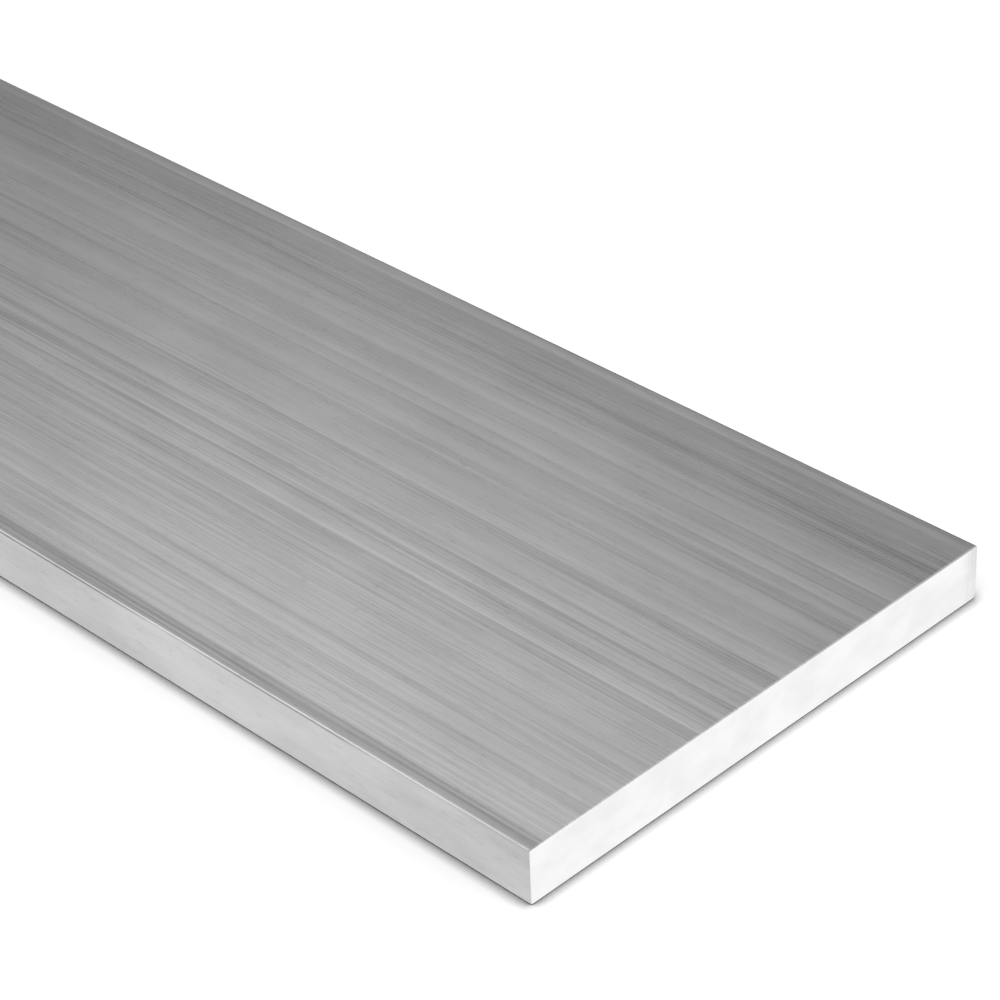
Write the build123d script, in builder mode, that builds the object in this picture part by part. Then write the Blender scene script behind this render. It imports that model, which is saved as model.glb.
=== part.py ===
"""Aluminium flat bar, 100 x 10 mm, cut to a length of one metre.

The bar is one extruded piece of solid metal.  The die leaves a small radius on
the four long corners of the section.  Both ends are cut square with a circular
saw, and the burr round each cut is taken off as a narrow bevel.

The bar lies on one of its wide faces.  X runs along it, Y across its wide
faces and Z up through its thickness.  The origin is under the middle of the
bar, on the surface that it lies on.
"""

from build123d import *

import os

# Driving dimensions, in millimetres.
BAR_LENGTH = 1000.0  # from one cut to the other
BAR_WIDTH = 100.0  # across a wide face
BAR_THICKNESS = 10.0  # from one wide face to the other
CORNER_RADIUS = 0.5  # left by the die on the four long corners
END_BEVEL = 0.2  # burr taken off round each cut, as wide on the end as on the sides

# The bevel follows the rounded corners, so it stays narrower than their radius.
BEVEL_LIMIT = 0.9  # largest share of the corner radius that the bevel may take
end_bevel = min(END_BEVEL, BEVEL_LIMIT * CORNER_RADIUS)

with BuildPart() as flat_bar:
    # The section stands on the floor at the first cut, and is drawn out to the second.
    with BuildSketch(Plane.YZ.offset(-BAR_LENGTH / 2)) as section:
        Rectangle(BAR_WIDTH, BAR_THICKNESS, align=(Align.CENTER, Align.MIN))
        fillet(section.vertices(), radius=CORNER_RADIUS)
    extrude(amount=BAR_LENGTH)

    # Both cuts are square to the bar, and the edge round each one is bevelled.
    sawn_ends = faces().filter_by(Axis.X)
    chamfer(sawn_ends.edges(), length=end_bevel)

flat_bar.part.label = "flat_bar"

os.makedirs("parts", exist_ok=True)
export_step(flat_bar.part, "parts/flat_bar.step")
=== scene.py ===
"""Studio scene of an aluminium flat bar that lies on a white table.

The bar is one extruded piece with two sawn ends.  Its rounded corners, its die
lines, its filed ends and its handling nicks are modelled on the mesh, and what
is too fine for the mesh is in its finishes.  X runs along the bar, Y across it
and Z up, in metres, with the origin under its middle.
"""

import logging
import math
import random
from collections.abc import Callable, Iterable
from dataclasses import dataclass, field
from enum import Enum

import bmesh
import bpy
from mathutils import Euler, Matrix, Vector


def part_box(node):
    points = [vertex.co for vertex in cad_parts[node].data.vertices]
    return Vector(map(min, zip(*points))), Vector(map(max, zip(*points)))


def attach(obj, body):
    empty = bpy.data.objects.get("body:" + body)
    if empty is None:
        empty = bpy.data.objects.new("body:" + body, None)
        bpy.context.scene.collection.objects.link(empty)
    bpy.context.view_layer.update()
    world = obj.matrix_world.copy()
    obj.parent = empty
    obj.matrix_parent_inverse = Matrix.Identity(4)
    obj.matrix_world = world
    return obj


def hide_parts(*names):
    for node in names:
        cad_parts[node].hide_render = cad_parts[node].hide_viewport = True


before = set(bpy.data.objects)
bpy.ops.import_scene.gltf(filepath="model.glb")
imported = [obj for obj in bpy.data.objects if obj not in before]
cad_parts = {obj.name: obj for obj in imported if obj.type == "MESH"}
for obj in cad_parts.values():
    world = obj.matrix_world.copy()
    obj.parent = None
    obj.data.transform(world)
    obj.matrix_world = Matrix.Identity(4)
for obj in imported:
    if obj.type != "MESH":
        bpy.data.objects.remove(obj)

LOG = logging.getLogger("flat_bar")
MM = 0.001
CAD_NODE = "flat_bar"

Colour = tuple[float, float, float, float]
Point = tuple[float, float, float]
Socket = bpy.types.NodeSocket
Element = bmesh.types.BMVert | bmesh.types.BMEdge | bmesh.types.BMFace


def grey(level: float) -> Colour:
    """Returns the opaque grey of a level, where 1 is white."""
    return (level, level, level, 1.0)


class Axis(Enum):
    """A direction of the bar, as the index of its coordinate."""

    ALONG = 0
    ACROSS = 1
    UP = 2

    def vector(self) -> Vector:
        """Returns the unit vector of this direction."""
        return Vector([float(axis is self) for axis in Axis])


class Side(Enum):
    """One of the bar's four long faces, by the direction that it faces."""

    TOP = (0.0, 0.0, 1.0)
    UNDERSIDE = (0.0, 0.0, -1.0)
    FRONT = (0.0, -1.0, 0.0)
    BACK = (0.0, 1.0, 0.0)

    @property
    def outward(self) -> Vector:
        """The face's outward normal."""
        return Vector(self.value)

    @property
    def across(self) -> Axis:
        """The direction across the face, at right angles to the bar's length."""
        return Axis.ACROSS if self in (Side.TOP, Side.UNDERSIDE) else Axis.UP


class LongCorner(Enum):
    """One of the bar's four long corners, by the two faces that meet there."""

    FRONT_TOP = (Side.FRONT, Side.TOP)
    BACK_TOP = (Side.BACK, Side.TOP)
    FRONT_FOOT = (Side.FRONT, Side.UNDERSIDE)
    BACK_FOOT = (Side.BACK, Side.UNDERSIDE)

    @property
    def inward(self) -> Vector:
        """The direction from the corner into the metal."""
        return -(self.value[0].outward + self.value[1].outward).normalized()


class Surface(Enum):
    """A kind of surface that the bar has, as the index of its material."""

    WIDE = 0
    NARROW = 1
    SAWN = 2


class Kind(Enum):
    """A kind of mesh element, by Blender's name for it."""

    VERTEX = "VERT"
    EDGE = "EDGE"
    FACE = "FACE"


# ---------------------------------------------------------------- node boards


@dataclass(frozen=True)
class Layer:
    """A layer of noise in a finish.

    Attributes:
        size: how long, wide and high one of its patches is, in metres.
        shift: moves it, so that no two layers are alike.
        detail: the number of finer layers in it.
        grain: how strong each finer one is against the one before.
    """

    size: Point
    shift: float
    detail: float = 2.0
    grain: float = 0.5


# Nearly all of a noise's values lie between these two.
NOISE_RANGE = (0.3, 0.7)


@dataclass
class NodeBoard:
    """A node tree and short ways of putting nodes on it.

    Attributes:
        tree: the node tree of a material or of the world.
    """

    tree: bpy.types.NodeTree

    def add(self, kind: str, inputs: dict[str | int, object] | None = None,
            **settings: object) -> bpy.types.Node:
        """Adds a node.

        Args:
            kind: the node's type name, without its ShaderNode prefix.
            inputs: a value or an output socket for each input, by name or place.
            **settings: the node's own properties.

        Returns:
            The new node.
        """
        node = self.tree.nodes.new("ShaderNode" + kind)
        for name, value in settings.items():
            setattr(node, name, value)
        for key, value in (inputs or {}).items():
            if isinstance(value, Socket):
                self.tree.links.new(value, node.inputs[key])
            else:
                node.inputs[key].default_value = value
        return node

    def math(self, operation: str, first: object, second: object = 0.0) -> Socket:
        """Returns the output of a Math node on two values or sockets."""
        return self.add("Math", {0: first, 1: second}, operation=operation).outputs[0]

    def total(self, first: object, *others: object) -> Socket:
        """Adds some values or sockets up.

        Args:
            first: the first of them.
            *others: the others, at least one.

        Returns:
            Their sum.
        """
        for other in others:
            first = self.math("ADD", first, other)
        return first

    def ramp(self, value: object, low: float, high: float, to_low: float = 0.0, to_high: float = 1.0,
             smooth: bool = True) -> Socket:
        """Moves a value from one range to another, and holds it at the ends.

        Args:
            value: the socket to change.
            low: where the result is to_low.
            high: where the result is to_high.
            to_low: the result at low.
            to_high: the result at high.
            smooth: eases in and out between the two.

        Returns:
            The moved value.
        """
        node = self.add(
            "MapRange",
            {"Value": value, "From Min": low, "From Max": high, "To Min": to_low, "To Max": to_high},
            interpolation_type="SMOOTHSTEP" if smooth else "LINEAR",
        )
        return node.outputs[0]

    def noise(self, place: Socket, layer: Layer) -> Socket:
        """Makes a layer's noise.

        Args:
            place: the coordinates in metres.
            layer: the layer.

        Returns:
            The noise, from 0 to 1.
        """
        scale = tuple(1.0 / side for side in layer.size)
        at = self.add("Mapping", {"Vector": place, "Scale": scale, "Location": (layer.shift,) * 3}).outputs[0]
        settings = {"Vector": at, "Scale": 1.0, "Detail": layer.detail, "Roughness": layer.grain}
        return self.add("TexNoise", settings).outputs[0]

    def stray(self, noise: Socket, tone: float, smooth: bool = True) -> Socket:
        """Returns a noise as a tone that strays from 0 as far as tone, both ways."""
        return self.ramp(noise, *NOISE_RANGE, -tone, tone, smooth)

    def shade(self, colour: Colour, tone: Socket) -> Socket:
        """Returns a colour multiplied by a tone."""
        return self.add("VectorMath", {0: colour[:3], "Scale": tone}, operation="SCALE").outputs[0]


def new_material(name: str) -> tuple[bpy.types.Material, NodeBoard]:
    """Makes an empty node material.

    Args:
        name: the material's name.

    Returns:
        The material and the board of its empty tree.
    """
    material = bpy.data.materials.new(name)
    material.use_nodes = True
    material.node_tree.nodes.clear()
    return material, NodeBoard(material.node_tree)


# ------------------------------------------------------------------- finishes


@dataclass(frozen=True)
class Streak:
    """A band of other tone all along a long face, such as a die's band or a painted dark reflection.

    Attributes:
        place: its middle across the face.
        half_width: from its middle to where it is half faded.
        fade: how wide its soft rim is.
        tone: how much lighter it is than the metal beside it, or darker if negative.
        broken: whether it comes and goes along the bar.
        until: how far from the bar's middle it goes on.
    """

    place: float
    half_width: float
    fade: float
    tone: float
    broken: bool = False
    until: float = 1.0

    # What a broken streak follows as it comes and goes, where in that noise it fades
    # in, and how long it takes to end.
    BREAKS = Layer((34 * MM, 400 * MM, 400 * MM), shift=4.4, detail=3.0)
    BREAK_RANGE = (0.36, 0.5)
    LAST_FADE = 12 * MM

    def mark(self, board: NodeBoard, place: Socket, across: Socket) -> Socket:
        """Makes the streak's share of the tone.

        Args:
            board: the material's board.
            place: the coordinates on the bar.
            across: the one of them that runs across the face.

        Returns:
            The share, which is 0 away from the streak.
        """
        away = board.math("ABSOLUTE", board.math("SUBTRACT", across, self.place))
        rim = self.fade / 2
        mark = board.ramp(away, self.half_width - rim, self.half_width + rim, self.tone, 0.0)
        if self.broken:
            there = board.ramp(board.noise(place, self.BREAKS), *self.BREAK_RANGE)
            along = board.math("ABSOLUTE", board.add("SeparateXYZ", {0: place}).outputs["X"])
            inside = board.ramp(along, self.until - self.LAST_FADE, self.until, 1.0, 0.0)
            mark = board.math("MULTIPLY", board.math("MULTIPLY", mark, there), inside)
        return mark


@dataclass(frozen=True)
class MillFinish:
    """The bare surface that the die leaves on the long faces.

    Attributes:
        name: the material's name.
        colour: the metal's grey.
        roughness: the mean roughness.
        anisotropy: how much wider a reflection is across the die lines than along them.
        hairline_tone: how far the finest lines stray from the mean tone.
        line_tone: how far the wider lines do.
        cloud_tone: how far the soft patches do.
        cloud: the soft patches.
        streaks: the bands that run all along the bar.
        across: the direction in which the streaks' places are measured.
        calm_from: the place across the face beyond which its lines are fainter.
        grain_map: the UV map whose first direction runs along the bar.
    """

    name: str
    colour: Colour = grey(0.575)
    roughness: float = 0.30
    anisotropy: float = 0.5
    hairline_tone: float = 0.14
    line_tone: float = 0.05
    cloud_tone: float = 0.03
    cloud: Layer = Layer((17 * MM, 9 * MM, 9 * MM), shift=2.4, detail=5.0)
    streaks: tuple[Streak, ...] = ()
    across: Axis = Axis.ACROSS
    calm_from: float = 1.0
    grain_map: str = "grain"

    # The layers that all such faces share, where in its noise a layer fades in if it
    # doesn't use the whole of it, and how far a layer strays from the mean tone.
    HAIRLINES = Layer((28 * MM, 0.26 * MM, 0.26 * MM), shift=3.1, detail=1.0)
    LINES = Layer((160 * MM, 0.9 * MM, 0.9 * MM), shift=7.7, detail=1.0)
    BANDS = Layer((600 * MM, 5 * MM, 5 * MM), shift=1.3)
    BAND_TONE = 0.03
    CLOUD_RANGE = (0.35, 0.65)
    SCUFFS = Layer((2.5 * MM, 0.5 * MM, 0.5 * MM), shift=9.3, detail=1.0)
    SCUFF_RANGE = (0.62, 0.72)
    SCUFF_TONE = -0.08

    # Over what distance the lines fade beyond calm_from, and what is left of them.
    CALM_FADE = 35 * MM
    CALM_SHARE = 0.3

    # The unevenness of the gloss, the relief of the lines, and the quarter turn by
    # which a reflection spreads across them.
    ROUGHNESS_STRAY = 0.03
    HAIRLINE_RELIEF = 0.5
    RELIEF_STRENGTH = 0.12
    RELIEF_DEPTH = 0.02 * MM
    QUARTER_TURN = 0.25

    def material(self) -> bpy.types.Material:
        """Makes the finish's material.

        Returns:
            The material.
        """
        material, board = new_material(self.name)
        place = board.add("TexCoord").outputs["Object"]
        across = board.add("SeparateXYZ", {0: place}).outputs[self.across.value]
        layers = (self.HAIRLINES, self.LINES, self.BANDS, self.cloud, self.SCUFFS)
        hairlines, lines, bands, cloud, scuffs = (board.noise(place, layer) for layer in layers)

        grain = board.total(
            board.stray(hairlines, self.hairline_tone, smooth=False),
            board.stray(lines, self.line_tone, smooth=False),
        )
        calm = board.ramp(across, self.calm_from, self.calm_from + self.CALM_FADE, 1.0, self.CALM_SHARE)
        tone = board.total(
            board.math("MULTIPLY", grain, calm),
            board.stray(bands, self.BAND_TONE),
            board.ramp(cloud, *self.CLOUD_RANGE, -self.cloud_tone, self.cloud_tone),
            board.ramp(scuffs, *self.SCUFF_RANGE, 0.0, self.SCUFF_TONE),
            *(streak.mark(board, place, across) for streak in self.streaks),
            1.0,
        )
        roughness = board.total(
            board.stray(hairlines, self.ROUGHNESS_STRAY),
            board.stray(bands, self.ROUGHNESS_STRAY),
            self.roughness,
        )
        relief = board.total(board.math("MULTIPLY", hairlines, self.HAIRLINE_RELIEF), lines)
        bump = board.add("Bump", {
            "Height": relief,
            "Strength": self.RELIEF_STRENGTH,
            "Distance": self.RELIEF_DEPTH,
        })
        tangent = board.add("Tangent", direction_type="UV_MAP", uv_map=self.grain_map)
        shader = board.add("BsdfPrincipled", {
            "Base Color": board.shade(self.colour, tone),
            "Metallic": 1.0,
            "Roughness": roughness,
            "Anisotropic": self.anisotropy,
            "Anisotropic Rotation": self.QUARTER_TURN,
            "Tangent": tangent.outputs[0],
            "Normal": bump.outputs[0],
        })
        board.add("OutputMaterial", {"Surface": shader.outputs[0]})
        return material


@dataclass(frozen=True)
class SawnFinish:
    """The satin face that a fine circular saw leaves on the ends.

    Attributes:
        darker_edge: the edge across the bar towards which the face grows darker.
        name: the material's name.
        colour: the fresh metal's grey.
        roughness: the mean roughness.
        darkening_reach: how far from that edge the darkening begins.
        edge_darkening: how much darker the face is at that edge.
    """

    darker_edge: float
    name: str = "sawn_end"
    colour: Colour = grey(0.95)
    roughness: float = 0.40
    darkening_reach: float = 4.5 * MM
    edge_darkening: float = 0.17

    # The soft patches, the upright strokes' least and most share of the darkening, and the relief.
    CLOUD = Layer((9 * MM, 7 * MM, 4 * MM), shift=0.0, detail=4.0)
    CLOUD_TONE = 0.04
    STROKES = Layer((9 * MM, 0.45 * MM, 9 * MM), shift=5.9)
    STROKE_SHARES = (0.5, 1.2)
    RELIEF_STRENGTH = 0.1
    RELIEF_DEPTH = 0.02 * MM

    def material(self) -> bpy.types.Material:
        """Makes the finish's material.

        Returns:
            The material.
        """
        material, board = new_material(self.name)
        place = board.add("TexCoord").outputs["Object"]
        across = board.add("SeparateXYZ", {0: place}).outputs["Y"]
        cloud, strokes = board.noise(place, self.CLOUD), board.noise(place, self.STROKES)
        # The face grows darker towards its back edge.
        towards_edge = board.ramp(across, self.darker_edge - self.darkening_reach, self.darker_edge, 0.0, -self.edge_darkening)
        marks = board.math("MULTIPLY", towards_edge, board.ramp(strokes, *NOISE_RANGE, *self.STROKE_SHARES))
        tone = board.total(board.stray(cloud, self.CLOUD_TONE), marks, 1.0)
        bump = board.add("Bump", {
            "Height": cloud,
            "Strength": self.RELIEF_STRENGTH,
            "Distance": self.RELIEF_DEPTH,
        })
        shader = board.add("BsdfPrincipled", {
            "Base Color": board.shade(self.colour, tone),
            "Metallic": 1.0,
            "Roughness": self.roughness,
            "Normal": bump.outputs[0],
        })
        board.add("OutputMaterial", {"Surface": shader.outputs[0]})
        return material


@dataclass(frozen=True)
class TableFinish:
    """The white table, which looks evenly white to the camera and keeps the bar's shadow.

    Attributes:
        name: the material's name.
        albedo: how much of the light it gives back to the bar.
        camera_gain: how much brighter it looks to the camera than it is.
        mirrored: how bright it looks in the metal, where 1 is white.
        contact: how near a thing has to be for the painted contact shadow to darken the table where they
            touch.
        hidden: how little of the sky near by is left where the painted contact shadow is black.
    """

    name: str = "white_table"
    albedo: float = 0.8
    camera_gain: float = 1.70
    mirrored: float = 1.0
    contact: float = 2.2 * MM
    hidden: float = 0.22

    CONTACT_SAMPLES = 4

    def material(self) -> bpy.types.Material:
        """Makes the finish's material.

        Returns:
            The material.
        """
        material, board = new_material(self.name)
        rays = board.add("LightPath")
        reflected = board.math("MAXIMUM", rays.outputs["Is Glossy Ray"], rays.outputs["Is Transmission Ray"])
        plain = board.add("BsdfDiffuse", {"Color": grey(self.albedo)})
        # The camera sees a painted contact shadow: the table's colour darkened by ambient occlusion near the
        # bar.
        near = board.add("AmbientOcclusion", {"Distance": self.contact}, samples=self.CONTACT_SAMPLES)
        painted_contact_shadow = board.ramp(near.outputs["AO"], self.hidden, 1.0, smooth=False)
        white = grey(self.albedo * self.camera_gain)
        bright = board.add("BsdfDiffuse", {"Color": board.shade(white, painted_contact_shadow)})
        mirrored = board.add("Emission", {"Color": grey(1.0), "Strength": self.mirrored})
        by_camera = rays.outputs["Is Camera Ray"]
        seen = board.add("MixShader", {0: by_camera, 1: plain.outputs[0], 2: bright.outputs[0]})
        mixed = board.add("MixShader", {0: reflected, 1: seen.outputs[0], 2: mirrored.outputs[0]})
        board.add("OutputMaterial", {"Surface": mixed.outputs[0]})
        return material


# --------------------------------------------------------------- mesh editing


@dataclass
class MeshBench:
    """Edit-mode work on one object, with its parts chosen by their place.

    Attributes:
        piece: the object that is worked on.
    """

    piece: bpy.types.Object

    # Two directions are the same where the cosine between them is above this.
    SAME_WAY = 0.99999

    def start(self) -> None:
        """Opens the piece in edit mode with nothing else selected."""
        bpy.ops.object.select_all(action="DESELECT")
        self.piece.select_set(True)
        bpy.context.view_layer.objects.active = self.piece
        bpy.ops.object.mode_set(mode="EDIT")

    def stop(self) -> None:
        """Goes back to object mode."""
        bpy.ops.object.mode_set(mode="OBJECT")

    def select(self, kind: Kind, wanted: Callable[[Element], bool]) -> None:
        """Selects the elements of a kind that wanted accepts, and nothing else.

        Args:
            kind: the kind.
            wanted: is given one element of that kind.
        """
        bpy.ops.mesh.select_mode(type=kind.value)
        bpy.ops.mesh.select_all(action="DESELECT")
        mesh = bmesh.from_edit_mesh(self.piece.data)
        elements = {Kind.VERTEX: mesh.verts, Kind.EDGE: mesh.edges, Kind.FACE: mesh.faces}[kind]
        for element in elements:
            element.select_set(wanted(element))
        mesh.select_flush_mode()
        bmesh.update_edit_mesh(self.piece.data)

    def cut_side(self, side: Side, places: Iterable[float]) -> None:
        """Cuts one long face lengthwise.

        Args:
            side: the face.
            places: the coordinates of the cuts across that face.
        """
        axis = side.across.vector()
        for place in places:
            self.select(Kind.FACE, lambda face: face.normal.dot(side.outward) > self.SAME_WAY)
            bpy.ops.mesh.bisect(plane_co=axis * place, plane_no=axis)

    def cut_across(self, places: Iterable[float]) -> None:
        """Cuts the whole piece crosswise.

        Args:
            places: the X coordinates of the cuts.
        """
        for place in places:
            bpy.ops.mesh.select_all(action="SELECT")
            bpy.ops.mesh.bisect(plane_co=(place, 0.0, 0.0), plane_no=(1.0, 0.0, 0.0))


# -------------------------------------------------------------------- the bar


@dataclass(frozen=True)
class DieLine:
    """A shallow groove that a mark in the die draws along the whole bar.

    Attributes:
        side: the face that it lies on.
        place: its middle across that face.
        half_width: from its middle to its rim.
        depth: its depth.
    """

    side: Side
    place: float
    half_width: float
    depth: float

    # How far outside a rim its supporting cut lies, in half widths.
    RIM = 0.25

    def cuts(self) -> list[float]:
        """Returns where the face is cut: the middle, the two rims and a supporting cut outside each rim."""
        reach = self.half_width * (1.0 + self.RIM)
        return [self.place + offset for offset in (-reach, -self.half_width, 0.0, self.half_width, reach)]


@dataclass(frozen=True)
class Nick:
    """A small dent that handling left on a long corner.

    Attributes:
        corner: the long corner.
        along: its middle along the bar.
        half_length: from its middle to its end.
        depth: its depth.
    """

    corner: LongCorner
    along: float
    half_length: float
    depth: float

    # Where the bar is cut across for a dent, in half lengths from its middle.
    STEPS = (-1.0, -0.6, -0.25, 0.0, 0.25, 0.6, 1.0)

    def depth_at(self, step: float) -> float:
        """Returns how deep the dent is at a step of -1 to 1 along it."""
        return self.depth * (1.0 - step * step) ** 2


@dataclass
class FlatBar:
    """The bar, with its corner radii, its filed ends, its die lines and its nicks.

    Attributes:
        low: the lowest corner of its box.
        high: the highest corner of its box.
        corner_radius: the die radius on the four long corners.
        end_bevel: how much of each face the file took off round the ends.
        seed: fixes the random die lines, nicks and pressed lines.
    """

    low: Vector
    high: Vector
    corner_radius: float
    end_bevel: float
    seed: int = 41

    # The steps round a corner radius, the bevel profile that is a circle's arc, the
    # steps round a filed edge, and how far beside them lie the cuts that keep the flat
    # faces flat.
    CORNER_STEPS = 8
    ROUND_PROFILE = 0.5
    FILED_STEPS = 4
    SUPPORT = 0.12 * MM

    # The spacing of the cuts across the bar, and how near two places have to be to be
    # the same, on this mesh and on the CAD's.
    STATION = 25 * MM
    NEAR = 1e-7
    CAD_NEAR = 1e-6

    # The pressed line under each top corner: how far down the radius it lies, as shares
    # of it, its depth, the shares of that depth it may have, and how far it stays from
    # the ends.
    LIP_REACH = (0.77, 0.84)
    LIP_DEPTH = 0.03 * MM
    LIP_SHARES = (0.35, 0.7, 1.0, 1.0)
    LIP_END = 30 * MM

    # The die lines: how many on each face, how far they stay from the radii, where in
    # its share of the face each may lie, and their sizes in millimetres.
    LINE_COUNTS = {Side.TOP: 22, Side.UNDERSIDE: 22, Side.FRONT: 2, Side.BACK: 2}
    LINE_MARGIN = 0.8 * MM
    LINE_SHARES = (0.2, 0.8)
    LINE_HALF_WIDTHS = (0.12, 0.3)
    LINE_DEPTHS = (0.002, 0.008)

    # The nicks: two on the top front corner, by their distance from the right-hand end,
    # half length and depth, then how many at random on every corner, how far those stay
    # from the two ends, and their sizes in millimetres.
    FRONT_NICKS = ((21.5 * MM, 1.6 * MM, 0.05 * MM), (41.0 * MM, 1.1 * MM, 0.04 * MM))
    NICKS_A_CORNER = 5
    NICK_ENDS = (20 * MM, 60 * MM)
    NICK_HALF_LENGTHS = (0.7, 2.2)
    NICK_DEPTHS = (0.02, 0.06)

    # How far from the back the wide faces' lines begin to fade, how squarely a facet of
    # a filed edge has to face the end to look sawn, beside the wide faces and beside
    # the narrow sides, and the steepest edge that is shaded smooth, in degrees.
    CALM_REACH = 65 * MM
    SAWN_BY_WIDE = 0.9
    SAWN_BY_NARROW = 0.8
    SMOOTH_ANGLE = 35.0

    @classmethod
    def from_cad(cls, node: str) -> "FlatBar":
        """Reads the sizes from a CAD node.

        Args:
            node: the CAD node's name.

        Returns:
            The bar of those sizes.
        """
        low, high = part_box(node)
        corners = [v.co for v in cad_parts[node].data.vertices]
        top = [co for co in corners if high.z - co.z < cls.CAD_NEAR]
        end = [co for co in corners if high.x - co.x < cls.CAD_NEAR]
        flat_half_width = max(co.y for co in top)
        bevelled_height = max(co.z for co in end)
        return cls(low, high, corner_radius=high.y - flat_half_width, end_bevel=high.z - bevelled_height)

    @property
    def filed_radius(self) -> float:
        """The radius of the filed edges, which take off as much in their middle as the bevel does."""
        return self.end_bevel / (2.0 - math.sqrt(2.0))

    def block(self) -> bpy.types.Object:
        """Adds the plain block that the bar is shaped from.

        Returns:
            The block, which is shorter than the bar by its filed edges.
        """
        size, centre = self.high - self.low, (self.high + self.low) / 2
        size.x -= 2 * self.filed_radius
        bpy.ops.object.select_all(action="DESELECT")
        bpy.ops.mesh.primitive_cube_add(size=1.0, location=centre, scale=size)
        piece = bpy.context.object
        piece.name = piece.data.name = "flat_bar_stock"
        bpy.ops.object.transform_apply(location=True, rotation=True, scale=True)
        return piece

    def round_corners(self, bench: MeshBench) -> None:
        """Gives the four long corners their die radius, and cuts beside them that keep the faces flat.

        Args:
            bench: the bench with the block on it.
        """
        bench.select(Kind.EDGE, lambda e: abs(e.verts[0].co.x - e.verts[1].co.x) > self.corner_radius)
        bpy.ops.mesh.bevel(offset=self.corner_radius, segments=self.CORNER_STEPS,
                           profile=self.ROUND_PROFILE, affect="EDGES")
        inset = self.corner_radius + self.SUPPORT
        for side in Side:
            axis = side.across.value
            bench.cut_side(side, (self.low[axis] + inset, self.high[axis] - inset))

    def draw_lips(self, bench: MeshBench) -> None:
        """Presses the fine line at the foot of the two top corners' radii, here and there deeper.

        Args:
            bench: the bench with the bar on it, cut across at every station.
        """
        draw = random.Random(self.seed + 2)
        upper, lower = (self.high.z - self.corner_radius * share for share in self.LIP_REACH)
        for side in (Side.FRONT, Side.BACK):
            for along in self.stations():
                depth = self.LIP_DEPTH * draw.choice(self.LIP_SHARES)
                if min(along - self.low.x, self.high.x - along) > self.LIP_END:
                    bench.select(Kind.VERTEX, lambda v: abs(v.co.x - along) < self.NEAR
                                 and lower < v.co.z < upper and side.outward.dot(v.co) > 0.0)
                    bpy.ops.transform.translate(value=side.outward * -depth)

    def die_lines(self) -> list[DieLine]:
        """Chooses the die lines of the four long faces.

        Returns:
            The lines, face by face.
        """
        draw = random.Random(self.seed)
        lines = []
        for side, count in self.LINE_COUNTS.items():
            axis = side.across.value
            margin = self.corner_radius + self.LINE_MARGIN
            start, end = self.low[axis] + margin, self.high[axis] - margin
            pitch = (end - start) / count
            for index in range(count):
                place = start + pitch * (index + draw.uniform(*self.LINE_SHARES))
                half_width = draw.uniform(*self.LINE_HALF_WIDTHS) * MM
                lines.append(DieLine(side, place, half_width, draw.uniform(*self.LINE_DEPTHS) * MM))
        return lines

    def draw_die_lines(self, bench: MeshBench) -> None:
        """Cuts the die lines into the long faces.

        Args:
            bench: the bench with the rounded block on it.
        """
        lines = self.die_lines()
        for line in lines:
            bench.cut_side(line.side, line.cuts())
        for line in lines:
            across, normal = line.side.across.value, line.side.outward
            level = max(normal.dot(self.low), normal.dot(self.high))
            bench.select(Kind.VERTEX, lambda v: abs(v.co[across] - line.place) < self.NEAR
                         and abs(normal.dot(v.co) - level) < self.NEAR)
            bpy.ops.transform.translate(value=normal * -line.depth)

    def file_ends(self, bench: MeshBench) -> None:
        """Builds the two ends out to their full length, with their edges filed.

        Args:
            bench: the bench with the rounded block on it.
        """
        turns = [math.pi / 2 * step / self.FILED_STEPS for step in range(self.FILED_STEPS + 1)]
        for facing in (1.0, -1.0):
            for turn, next_turn in zip(turns, turns[1:]):
                bench.select(Kind.FACE, lambda face: face.normal.x * facing > bench.SAME_WAY)
                bpy.ops.mesh.inset(thickness=(math.cos(turn) - math.cos(next_turn)) * self.filed_radius,
                                   depth=(math.sin(next_turn) - math.sin(turn)) * self.filed_radius)
            bpy.ops.mesh.inset(thickness=self.SUPPORT, depth=0.0)
        inset = self.filed_radius + self.SUPPORT
        bench.cut_across((self.low.x + inset, self.high.x - inset))

    def stations(self) -> list[float]:
        """Returns where the bar is cut across at even steps."""
        count = round((self.high.x - self.low.x) / self.STATION)
        return [self.low.x + self.STATION * index for index in range(1, count)]

    def nicks(self) -> list[Nick]:
        """Chooses the dents on the long corners.

        Returns:
            The dents, first the two whose places are set.
        """
        draw = random.Random(self.seed + 1)
        first, last = self.low.x + self.NICK_ENDS[0], self.high.x - self.NICK_ENDS[1]
        placed = [Nick(LongCorner.FRONT_TOP, self.high.x - inward, half_length, depth)
                  for inward, half_length, depth in self.FRONT_NICKS]
        for corner in LongCorner:
            for _ in range(self.NICKS_A_CORNER):
                along = draw.uniform(first, last)
                half_length = draw.uniform(*self.NICK_HALF_LENGTHS) * MM
                placed.append(Nick(corner, along, half_length, draw.uniform(*self.NICK_DEPTHS) * MM))
        return placed

    def dent_corners(self, bench: MeshBench) -> None:
        """Presses the nicks into the long corners.

        Args:
            bench: the bench with the bar on it.
        """
        nicks = self.nicks()
        for nick in nicks:
            bench.cut_across(nick.along + step * nick.half_length for step in nick.STEPS)
        reach = self.corner_radius
        for nick in nicks:
            first, second = (side.outward for side in nick.corner.value)
            for step in nick.STEPS[1:-1]:
                at = nick.along + step * nick.half_length
                bench.select(Kind.VERTEX, lambda v: abs(v.co.x - at) < self.NEAR
                             and first.dot(v.co) > max(first.dot(self.low), first.dot(self.high)) - reach
                             and second.dot(v.co) > max(second.dot(self.low), second.dot(self.high)) - reach)
                bpy.ops.transform.translate(value=nick.corner.inward * nick.depth_at(step))

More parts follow.
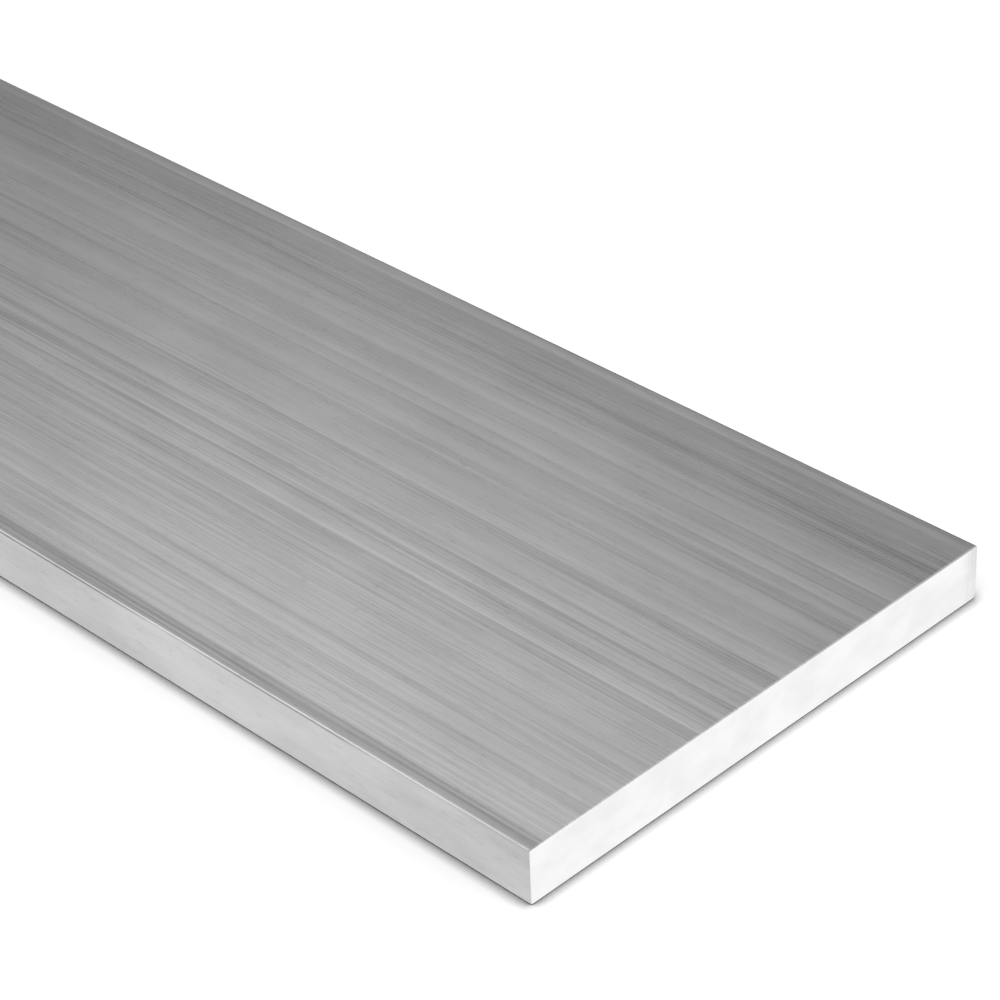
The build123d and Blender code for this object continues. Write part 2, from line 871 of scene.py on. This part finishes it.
    def build(self) -> bpy.types.Object:
        """Models and dresses the bar.

        Returns:
            The finished piece.
        """
        piece = self.block()
        bench = MeshBench(piece)
        bench.start()
        self.round_corners(bench)
        self.draw_die_lines(bench)
        self.file_ends(bench)
        bench.cut_across(self.stations())
        self.draw_lips(bench)
        self.dent_corners(bench)
        bpy.ops.mesh.select_all(action="SELECT")
        bpy.ops.uv.cube_project(cube_size=1.0)
        bpy.ops.mesh.normals_make_consistent(inside=False)
        bench.stop()
        self.dress(piece)
        return piece

    def wide_finish(self) -> MillFinish:
        """Makes the finish of the wide faces.

        Returns:
            The finish, with a painted dark reflection in a strip beside the front corners, fine dark lines
            and darker patches there, and a painted dark reflection along the back.
        """
        front = self.low.y
        return MillFinish("wide_face", calm_from=self.high.y - self.CALM_REACH, streaks=(
            # The wide strip beside the front corner is a painted dark reflection.
            Streak(front + 1.65 * MM, 1.3 * MM, 0.5 * MM, -0.21),
            Streak(front + 1.65 * MM, 0.2 * MM, 0.2 * MM, -0.06),
            Streak(front + 0.75 * MM, 0.2 * MM, 0.2 * MM, -0.06),
            Streak(front + 0.1 * MM, 0.14 * MM, 0.1 * MM, -0.12, broken=True),
            # The band along the back is a painted dark reflection.
            Streak(self.high.y, 14 * MM, 16 * MM, -0.06),
        ))

    def narrow_finish(self) -> MillFinish:
        """Makes the finish of the narrow sides.

        Returns:
            The finish, which is patchier and has a painted dark reflection along the pressed line under the
            top corner.
        """
        lip = self.high.z - self.corner_radius * sum(self.LIP_REACH) / 2
        # The dark line is a painted dark reflection, laid along the real pressed line under the top corner.
        painted_dark_reflection = Streak(lip, 0.1 * MM, 0.06 * MM, -0.55, broken=True, until=self.high.x - self.LIP_END)
        patches = Layer((66 * MM, 20 * MM, 20 * MM), shift=2.4, detail=5.0, grain=0.62)
        return MillFinish("narrow_side", hairline_tone=0.03, line_tone=0.015, cloud_tone=0.12,
                          cloud=patches, across=Axis.UP, streaks=(painted_dark_reflection,))

    def surface(self, normal: Vector) -> Surface:
        """Tells what kind of surface a facet belongs to.

        Args:
            normal: the facet's normal.

        Returns:
            The kind of surface.
        """
        x, y, z = (abs(part) for part in normal)
        if x > (self.SAWN_BY_WIDE if z > y else self.SAWN_BY_NARROW):
            return Surface.SAWN
        return Surface.NARROW if y > z else Surface.WIDE

    def dress(self, piece: bpy.types.Object) -> None:
        """Gives the long faces and the ends their finishes and smooth shading.

        Args:
            piece: the finished mesh.
        """
        finishes = {
            Surface.WIDE: self.wide_finish(),
            Surface.NARROW: self.narrow_finish(),
            Surface.SAWN: SawnFinish(darker_edge=self.high.y),
        }
        piece.data.uv_layers.active.name = finishes[Surface.WIDE].grain_map
        for surface in Surface:
            piece.data.materials.append(finishes[surface].material())
        for face in piece.data.polygons:
            face.material_index = self.surface(face.normal).value
        bpy.ops.object.shade_smooth_by_angle(angle=math.radians(self.SMOOTH_ANGLE))
        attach(piece, "root")
        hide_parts(CAD_NODE)


# ----------------------------------------------------------------- the studio


@dataclass(frozen=True)
class Window:
    """A soft bright patch of the room, far away, or a dim one where its level is negative.

    Attributes:
        towards: the direction in which it lies.
        inner: the angle from its middle at which it begins to fade, in degrees.
        outer: the angle at which it is gone, in degrees.
        level: how much brighter than the room it is.
    """

    towards: Point
    inner: float
    outer: float
    level: float

    def glow(self, board: NodeBoard, direction: Socket) -> Socket:
        """Makes the window's light.

        Args:
            board: the world's board.
            direction: the direction that is looked in.

        Returns:
            How much light comes from there.
        """
        middle = Vector(self.towards).normalized()
        between = board.add("VectorMath", {0: direction, 1: middle}, operation="DOT_PRODUCT")
        outer, inner = (math.cos(math.radians(angle)) for angle in (self.outer, self.inner))
        return board.ramp(between.outputs["Value"], outer, inner, 0.0, self.level)


@dataclass(frozen=True)
class Room:
    """The room's own light: grey walls under a brighter ceiling, with five windows and a dim corner.

    Attributes:
        levels: how bright the room is at some heights, from 0 at the horizon to 1 straight up.
        windows: its windows.
    """

    levels: tuple[tuple[float, float], ...] = (
        (0.0, 0.42), (0.3, 0.42), (0.58, 0.36), (0.74, 0.50), (0.88, 0.7), (1.0, 0.9),
    )
    windows: tuple[Window, ...] = (
        Window((-0.608, 0.420, 0.674), 4.0, 15.0, 1.08),
        Window((-0.60, -0.57, 0.56), 8.0, 28.0, 1.15),
        Window((0.76, 0.65, 0.06), 20.0, 48.0, 1.1),
        Window((0.65, -0.65, 0.40), 30.0, 75.0, 0.4),
        Window((-0.10, 0.56, 0.82), 10.0, 30.0, 0.32),
        Window((-0.72, 0.56, 0.36), 14.0, 42.0, -0.27),
    )

    def light(self) -> None:
        """Lights the world, and leaves it plain white where only the camera looks."""
        world = bpy.data.worlds.new("studio")
        bpy.context.scene.world = world
        world.use_nodes = True
        world.node_tree.nodes.clear()
        board = NodeBoard(world.node_tree)
        direction = board.add("TexCoord").outputs["Generated"]
        height = board.add("SeparateXYZ", {0: direction}).outputs["Z"]
        walls = board.add("ValToRGB", {0: height})
        while len(walls.color_ramp.elements) < len(self.levels):
            # Each new step gets its own place below.
            walls.color_ramp.elements.new(0.5)
        for element, (at, level) in zip(walls.color_ramp.elements, self.levels):
            element.position = at
            element.color = grey(level)
        light = board.total(walls.outputs[0], *(window.glow(board, direction) for window in self.windows))
        room = board.add("Background", {"Color": grey(1.0), "Strength": light})
        white = board.add("Background", {"Color": grey(1.0), "Strength": 1.0})
        seen = board.add("LightPath").outputs["Is Camera Ray"]
        mixed = board.add("MixShader", {0: seen, 1: room.outputs[0], 2: white.outputs[0]})
        board.add("OutputWorld", {"Surface": mixed.outputs[0]})


@dataclass
class Studio:
    """The white table and the room's light.

    Attributes:
        table: the table's finish.
        table_size: the side of the square table.
        room: the room's light.
    """

    table: TableFinish = field(default_factory=TableFinish)
    table_size: float = 24.0
    room: Room = field(default_factory=Room)

    def lay_table(self) -> bpy.types.Object:
        """Adds the table under the bar.

        Returns:
            The table.
        """
        bpy.ops.object.select_all(action="DESELECT")
        bpy.ops.mesh.primitive_plane_add(size=self.table_size, location=(0.0, 0.0, 0.0))
        table = bpy.context.object
        table.name = table.data.name = "table"
        table.data.materials.append(self.table.material())
        return table

    def build(self) -> None:
        """Sets the whole studio up."""
        self.lay_table()
        self.room.light()
        bpy.context.scene.view_settings.view_transform = "Standard"


@dataclass(frozen=True)
class ProductCamera:
    """A long lens that looks down on the bar's right-hand sawn end.

    Attributes:
        place: where it stands, from the foot of that end's front corner.
        azimuth: its bearing round the bar, in degrees; 0 looks along +Y.
        elevation: how steeply it looks down, in degrees.
        roll: how far it is tipped about its own axis, in degrees.
        lens: its focal length on a 36 mm frame, in millimetres.
    """

    place: Point = (260.30 * MM, -253.48 * MM, 312.25 * MM)
    azimuth: float = 46.078
    elevation: float = 33.836
    roll: float = -2.399
    lens: float = 122.157

    SENSOR_WIDTH = 36.0
    CLIPPING = (0.01, 100.0)

    def build(self, corner: Vector) -> bpy.types.Object:
        """Adds the camera and makes it the scene's.

        Args:
            corner: the foot of the bar's front corner at its right-hand end.

        Returns:
            The camera object.
        """
        camera = bpy.data.cameras.new("product_camera")
        camera.lens = self.lens
        camera.sensor_width = self.SENSOR_WIDTH
        camera.clip_start, camera.clip_end = self.CLIPPING
        holder = bpy.data.objects.new("product_camera", camera)
        bpy.context.scene.collection.objects.link(holder)
        a, e, r = (math.radians(angle) for angle in (self.azimuth, self.elevation, self.roll))
        turn = Euler((math.pi / 2 - e, 0.0, a)).to_matrix() @ Matrix.Rotation(r, 3, "Z")
        holder.matrix_world = Matrix.Translation(corner + Vector(self.place)) @ turn.to_4x4()
        bpy.context.scene.camera = holder
        return holder


def main() -> None:
    """Builds the bar, the studio and the camera."""
    logging.basicConfig(level=logging.INFO, format="%(name)s: %(message)s")
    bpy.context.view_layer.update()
    bar = FlatBar.from_cad(CAD_NODE)
    piece = bar.build()
    LOG.info("%s: %d faces, corner radius %.3f mm, end bevel %.3f mm", piece.name, len(piece.data.polygons),
             bar.corner_radius / MM, bar.end_bevel / MM)
    Studio().build()
    ProductCamera().build(Vector((bar.high.x, bar.low.y, bar.low.z)))


if __name__ == "__main__":
    main()
